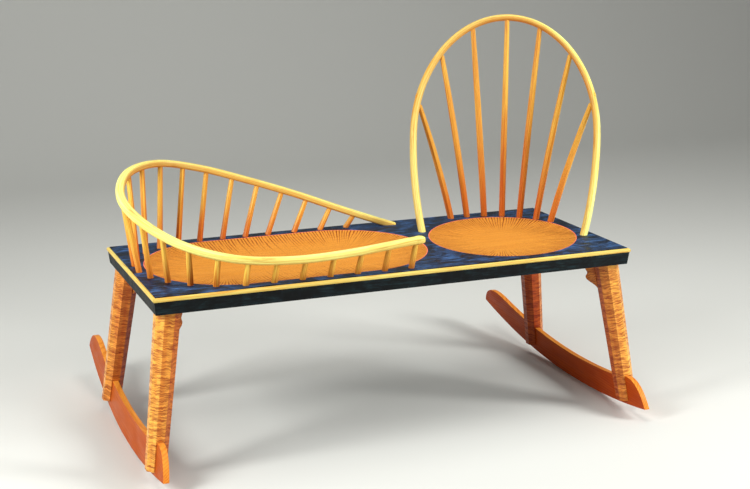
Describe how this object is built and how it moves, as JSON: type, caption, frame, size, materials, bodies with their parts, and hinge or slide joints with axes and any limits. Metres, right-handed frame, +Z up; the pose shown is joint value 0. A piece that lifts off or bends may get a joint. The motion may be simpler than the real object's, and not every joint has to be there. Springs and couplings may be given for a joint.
{
  "type": "rocking bench",
  "caption": "Wooden rocking bench for two: a bow-back seat turned towards a spindle-railed cradle on one plank, on splayed legs and two curved rockers.",
  "frame": {"origin": "on the floor, under the middle of the overall box", "axes": "+Z up, +X along the bench from the cradle end to the seat end, +Y to the rear"},
  "size_m": [1.3558, 0.932, 1.0144],
  "materials": {
    "blue_paint": "brushed dark blue milk paint under oil, with two bare bowls",
    "pale_wood": "oiled pale ash, satin",
    "golden_wood": "oiled golden maple, satin",
    "curly_wood": "stained curly maple, satin"
  },
  "bodies": {
    "root": {"seat_plank": "blue_paint", "edge_strip_front": "pale_wood", "edge_strip_rear": "pale_wood", "edge_strip_cradle_end": "pale_wood", "edge_strip_seat_end": "pale_wood", "back_hoop": "pale_wood", "hoop_wedge_left": "golden_wood", "hoop_wedge_right": "golden_wood", "back_spindle_1": "golden_wood", "back_spindle_2": "golden_wood", "back_spindle_3": "golden_wood", "back_spindle_4": "golden_wood", "back_spindle_5": "golden_wood", "back_spindle_6": "golden_wood", "back_spindle_7": "golden_wood", "cradle_rail": "pale_wood", "cradle_rail_dowel": "golden_wood", "cradle_spindle_01": "golden_wood", "cradle_spindle_02": "golden_wood", "cradle_spindle_03": "golden_wood", "cradle_spindle_04": "golden_wood", "cradle_spindle_05": "golden_wood", "cradle_spindle_06": "golden_wood", "cradle_spindle_07": "golden_wood", "cradle_spindle_08": "golden_wood", "cradle_spindle_09": "golden_wood", "cradle_spindle_10": "golden_wood", "cradle_spindle_11": "golden_wood", "cradle_spindle_12": "golden_wood", "cradle_spindle_13": "golden_wood", "cradle_spindle_14": "golden_wood", "cradle_spindle_15": "golden_wood", "cradle_spindle_16": "golden_wood", "cradle_spindle_17": "golden_wood", "cradle_spindle_18": "golden_wood", "cradle_spindle_19": "golden_wood", "cradle_spindle_20": "golden_wood", "cradle_spindle_21": "golden_wood", "cradle_spindle_22": "golden_wood", "cradle_spindle_23": "golden_wood", "cradle_spindle_24": "golden_wood", "leg_front_cradle_end": "curly_wood", "knee_bracket_front_cradle_end": "curly_wood", "leg_rear_cradle_end": "curly_wood", "knee_bracket_rear_cradle_end": "curly_wood", "leg_front_seat_end": "curly_wood", "knee_bracket_front_seat_end": "curly_wood", "leg_rear_seat_end": "curly_wood", "knee_bracket_rear_seat_end": "curly_wood", "rocker_cradle_end": "curly_wood", "rocker_seat_end": "curly_wood"}
  },
  "joints": []
}
